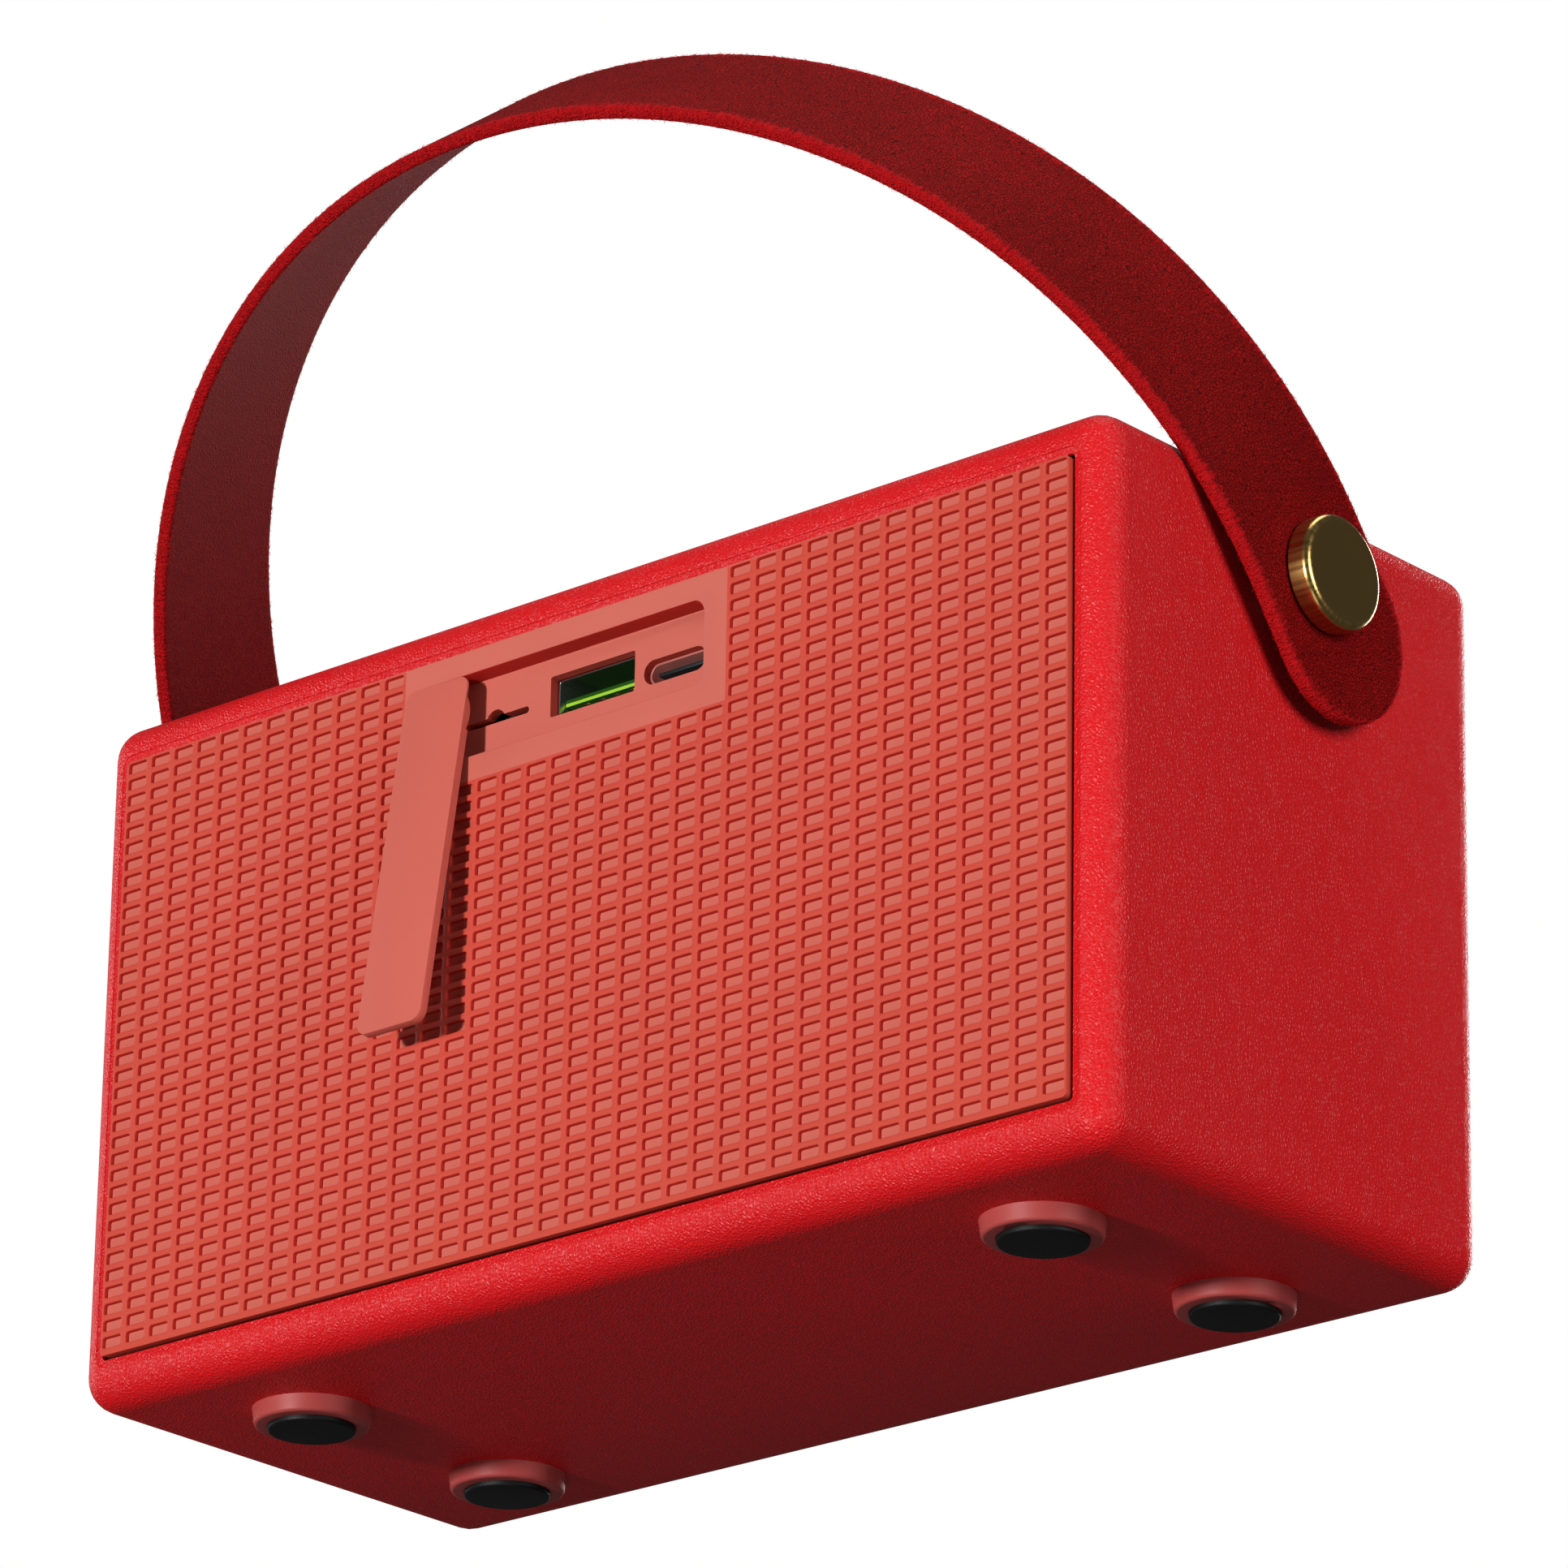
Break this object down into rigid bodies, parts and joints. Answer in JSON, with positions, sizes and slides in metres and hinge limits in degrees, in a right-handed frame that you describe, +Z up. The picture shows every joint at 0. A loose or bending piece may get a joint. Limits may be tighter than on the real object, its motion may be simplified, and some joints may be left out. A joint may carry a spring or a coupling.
{
  "type": "party speaker",
  "caption": "Small boxy portable speaker with a leatherette skin, a studded panel with a port bay and its rubber flap, rubber feet and a swinging carrying strap on brass studs.",
  "frame": {"origin": "on the floor under the middle of the cabinet, midway between the feet", "axes": "+Z up, +Y out of the port panel, +X along the strap's studs"},
  "size_m": [0.1824, 0.0991, 0.1601],
  "materials": {
    "black_abs": "moulded",
    "red_leatherette": "grained",
    "coral_plastic": "satin",
    "coral_rubber": "matte",
    "black_rubber": "matte",
    "black_foam": "open cell",
    "red_suede": "suede",
    "brass": "turned and polished",
    "steel": "plated",
    "black_steel": "powder coat",
    "green_plastic": "moulded",
    "black_plastic": "moulded",
    "ferrite": "sintered",
    "paper": "pressed paper",
    "copper_coil": "wound",
    "spider_cloth": "pressed cloth",
    "green_board": "solder mask",
    "cell_sleeve": "shrink sleeve",
    "button_rubber": "matte"
  },
  "bodies": {
    "cabinet": {"back_panel": "coral_plastic", "baffle": "black_abs", "baffle_gasket": "black_foam", "battery_cells": "cell_sleeve", "battery_tray": "black_abs", "board_parts": "black_plastic", "board_standoffs": "steel", "cabinet_shell": "black_abs", "card_reader": "steel", "case_screws": "steel", "control_plate": "coral_plastic", "driver_frame_left": "black_steel", "driver_frame_right": "black_steel", "driver_magnet_left": "ferrite", "driver_magnet_right": "ferrite", "driver_top_plate_left": "steel", "driver_top_plate_right": "steel", "driver_yoke_left": "steel", "driver_yoke_right": "steel", "foot_pads": "black_rubber", "foot_rings": "coral_plastic", "front_grille": "coral_plastic", "key_board": "green_board", "key_switches": "black_plastic", "leather_wrap": "red_leatherette", "main_board": "green_board", "panel_gasket": "black_foam", "radiator_frame": "black_plastic", "strap_stud_left": "brass", "strap_stud_right": "brass", "strap_washers": "steel", "stud_nuts": "steel", "usb_a_shell": "steel", "usb_a_tongue": "green_plastic", "usb_c_shell": "steel", "usb_c_tongue": "black_plastic"},
    "strap": {"strap": "red_suede"},
    "flap_stalk": {"flap_tether": "coral_rubber"},
    "flap": {"port_flap": "coral_rubber"},
    "power_button": {"button_power": "button_rubber"},
    "minus_button": {"button_minus": "button_rubber"},
    "play_button": {"button_play": "button_rubber"},
    "plus_button": {"button_plus": "button_rubber"},
    "mode_button": {"button_mode": "button_rubber"},
    "left_cone": {"driver_cone_left": "paper", "driver_surround_left": "black_rubber", "voice_coil_left": "copper_coil", "dust_cap_left": "paper", "spider_left": "spider_cloth"},
    "right_cone": {"driver_cone_right": "paper", "driver_surround_right": "black_rubber", "voice_coil_right": "copper_coil", "dust_cap_right": "paper", "spider_right": "spider_cloth"},
    "radiator": {"radiator_plate": "black_plastic", "radiator_surround": "black_rubber", "radiator_mass": "steel"}
  },
  "joints": [
    {"name": "strap_swing", "type": "hinge", "parent": "cabinet", "child": "strap", "pos_m": [0, 0, 0.0831], "axis": [1, 0, 0], "range_deg": [0, 74]},
    {"name": "flap_swivel", "type": "hinge", "parent": "cabinet", "child": "flap_stalk", "pos_m": [0.0232, 0.03695, 0.08063], "axis": [0, 1, 0], "range_deg": [0, 90]},
    {"name": "flap_bend", "type": "hinge", "parent": "flap_stalk", "child": "flap", "pos_m": [0.0232, 0.03715, 0.08597], "axis": [1, 0, 0], "range_deg": [0, 70]},
    {"name": "power_press", "type": "slide", "parent": "cabinet", "child": "power_button", "axis": [0, 0, -1], "range_m": [0, 0.0008], "stiffness_N_per_m": 600},
    {"name": "minus_press", "type": "slide", "parent": "cabinet", "child": "minus_button", "axis": [0, 0, -1], "range_m": [0, 0.0008], "stiffness_N_per_m": 600},
    {"name": "play_press", "type": "slide", "parent": "cabinet", "child": "play_button", "axis": [0, 0, -1], "range_m": [0, 0.0008], "stiffness_N_per_m": 600},
    {"name": "plus_press", "type": "slide", "parent": "cabinet", "child": "plus_button", "axis": [0, 0, -1], "range_m": [0, 0.0008], "stiffness_N_per_m": 600},
    {"name": "mode_press", "type": "slide", "parent": "cabinet", "child": "mode_button", "axis": [0, 0, -1], "range_m": [0, 0.0008], "stiffness_N_per_m": 600},
    {"name": "left_cone_travel", "type": "slide", "parent": "cabinet", "child": "left_cone", "axis": [0, -1, 0], "range_m": [-0.0008, 0.0008], "stiffness_N_per_m": 1200},
    {"name": "right_cone_travel", "type": "slide", "parent": "cabinet", "child": "right_cone", "axis": [0, -1, 0], "range_m": [-0.0008, 0.0008], "stiffness_N_per_m": 1200},
    {"name": "radiator_travel", "type": "slide", "parent": "cabinet", "child": "radiator", "axis": [0, -1, 0], "range_m": [-0.0008, 0.0008], "stiffness_N_per_m": 1200}
  ]
}
